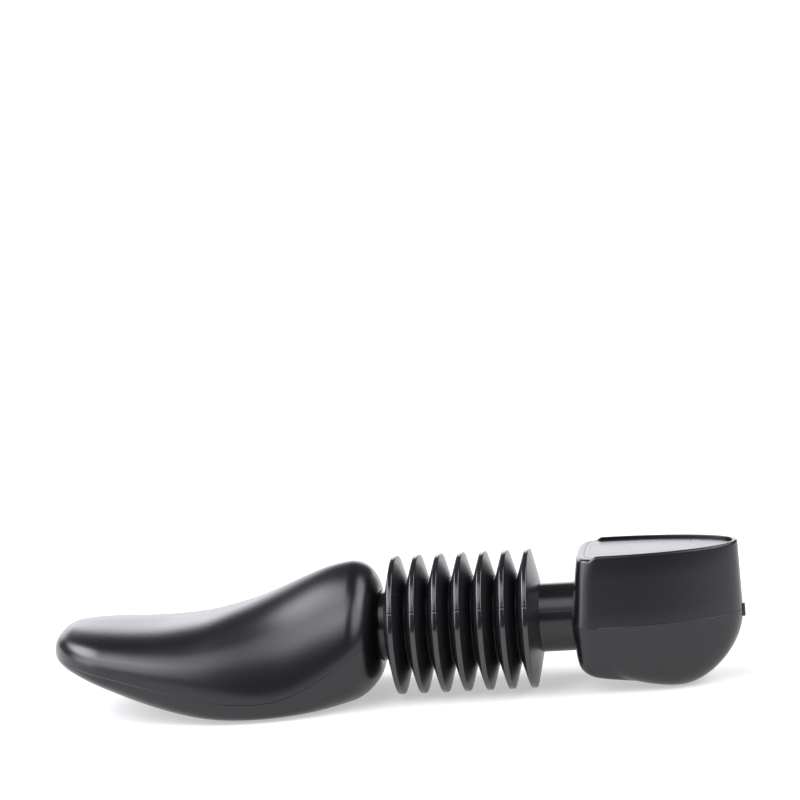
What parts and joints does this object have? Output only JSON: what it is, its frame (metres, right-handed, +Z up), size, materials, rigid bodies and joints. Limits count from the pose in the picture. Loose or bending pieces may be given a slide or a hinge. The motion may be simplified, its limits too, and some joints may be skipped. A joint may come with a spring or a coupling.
{
  "type": "shoe stretcher",
  "caption": "Black plastic shoe stretcher: hollow toe form, sprung bellows that shortens and bends, and a hollow heel block with a recessed flat top.",
  "frame": {"origin": "on the surface the stretcher lies on, under the middle of its free length", "axes": "+X along the bellows from the toe form to the heel block, +Z up, +Y to the left seen from the heel"},
  "size_m": [0.2734, 0.0762, 0.0553],
  "materials": {
    "shell": "satin black moulded plastic with a fine grain",
    "bellows": "smooth, slightly glossy black moulded plastic",
    "panel": "smooth satin black plastic"
  },
  "bodies": {
    "toe": {"toe_upper_shell": "shell", "toe_sole_shell": "shell", "front_neck": "bellows"},
    "crest_1": {"fold_crest_1": "bellows"},
    "crest_2": {"fold_crest_2": "bellows"},
    "crest_3": {"fold_crest_3": "bellows"},
    "crest_4": {"fold_crest_4": "bellows"},
    "crest_5": {"fold_crest_5": "bellows"},
    "crest_6": {"fold_crest_6": "bellows"},
    "crest_7": {"fold_crest_7": "bellows"},
    "root_1": {"fold_root_1": "bellows"},
    "root_2": {"fold_root_2": "bellows"},
    "root_3": {"fold_root_3": "bellows"},
    "root_4": {"fold_root_4": "bellows"},
    "root_5": {"fold_root_5": "bellows"},
    "root_6": {"fold_root_6": "bellows"},
    "heel": {"rear_neck": "bellows", "heel_upper_shell": "shell", "heel_lower_shell": "shell", "heel_top_panel": "panel", "vent_plug": "shell"}
  },
  "joints": [
    {"name": "fold_1_squeeze", "type": "slide", "parent": "toe", "child": "crest_1", "axis": [1, 0, 0], "range_m": [-0.0022, 0.001], "stiffness_N_per_m": 14000},
    {"name": "fold_1_nod", "type": "hinge", "parent": "crest_1", "child": "root_1", "pos_m": [0.00347, 0, 0.028], "axis": [0, 1, 0], "range_deg": [-3.1, 3.1], "stiffness_Nm_per_rad": 6.4},
    {"name": "fold_2_squeeze", "type": "slide", "parent": "root_1", "child": "crest_2", "axis": [1, 0, 0], "range_m": [-0.0022, 0.001], "stiffness_N_per_m": 14000},
    {"name": "fold_2_swing", "type": "hinge", "parent": "crest_2", "child": "root_2", "pos_m": [0.01218, 0, 0.028], "axis": [0, 0, 1], "range_deg": [-3.1, 3.1], "stiffness_Nm_per_rad": 6.4},
    {"name": "fold_3_squeeze", "type": "slide", "parent": "root_2", "child": "crest_3", "axis": [1, 0, 0], "range_m": [-0.0022, 0.001], "stiffness_N_per_m": 14000},
    {"name": "fold_3_nod", "type": "hinge", "parent": "crest_3", "child": "root_3", "pos_m": [0.02088, 0, 0.028], "axis": [0, 1, 0], "range_deg": [-3.1, 3.1], "stiffness_Nm_per_rad": 6.4},
    {"name": "fold_4_squeeze", "type": "slide", "parent": "root_3", "child": "crest_4", "axis": [1, 0, 0], "range_m": [-0.0022, 0.001], "stiffness_N_per_m": 14000},
    {"name": "fold_4_swing", "type": "hinge", "parent": "crest_4", "child": "root_4", "pos_m": [0.02958, 0, 0.028], "axis": [0, 0, 1], "range_deg": [-3.1, 3.1], "stiffness_Nm_per_rad": 6.4},
    {"name": "fold_5_squeeze", "type": "slide", "parent": "root_4", "child": "crest_5", "axis": [1, 0, 0], "range_m": [-0.0022, 0.001], "stiffness_N_per_m": 14000},
    {"name": "fold_5_nod", "type": "hinge", "parent": "crest_5", "child": "root_5", "pos_m": [0.03828, 0, 0.028], "axis": [0, 1, 0], "range_deg": [-3.1, 3.1], "stiffness_Nm_per_rad": 6.4},
    {"name": "fold_6_squeeze", "type": "slide", "parent": "root_5", "child": "crest_6", "axis": [1, 0, 0], "range_m": [-0.0022, 0.001], "stiffness_N_per_m": 14000},
    {"name": "fold_6_swing", "type": "hinge", "parent": "crest_6", "child": "root_6", "pos_m": [0.04698, 0, 0.028], "axis": [0, 0, 1], "range_deg": [-3.1, 3.1], "stiffness_Nm_per_rad": 6.4},
    {"name": "fold_7_squeeze", "type": "slide", "parent": "root_6", "child": "crest_7", "axis": [1, 0, 0], "range_m": [-0.0022, 0.001], "stiffness_N_per_m": 14000},
    {"name": "fold_7_nod", "type": "hinge", "parent": "crest_7", "child": "heel", "pos_m": [0.05568, 0, 0.028], "axis": [0, 1, 0], "range_deg": [-3.1, 3.1], "stiffness_Nm_per_rad": 6.4}
  ],
  "couplings": [
    {"joint": "fold_2_squeeze", "follows": "fold_1_squeeze", "ratio": 1},
    {"joint": "fold_3_squeeze", "follows": "fold_1_squeeze", "ratio": 1},
    {"joint": "fold_4_squeeze", "follows": "fold_1_squeeze", "ratio": 1},
    {"joint": "fold_5_squeeze", "follows": "fold_1_squeeze", "ratio": 1},
    {"joint": "fold_6_squeeze", "follows": "fold_1_squeeze", "ratio": 1},
    {"joint": "fold_7_squeeze", "follows": "fold_1_squeeze", "ratio": 1},
    {"joint": "fold_3_nod", "follows": "fold_1_nod", "ratio": 1},
    {"joint": "fold_5_nod", "follows": "fold_1_nod", "ratio": 1},
    {"joint": "fold_7_nod", "follows": "fold_1_nod", "ratio": 1},
    {"joint": "fold_4_swing", "follows": "fold_2_swing", "ratio": 1},
    {"joint": "fold_6_swing", "follows": "fold_2_swing", "ratio": 1}
  ]
}
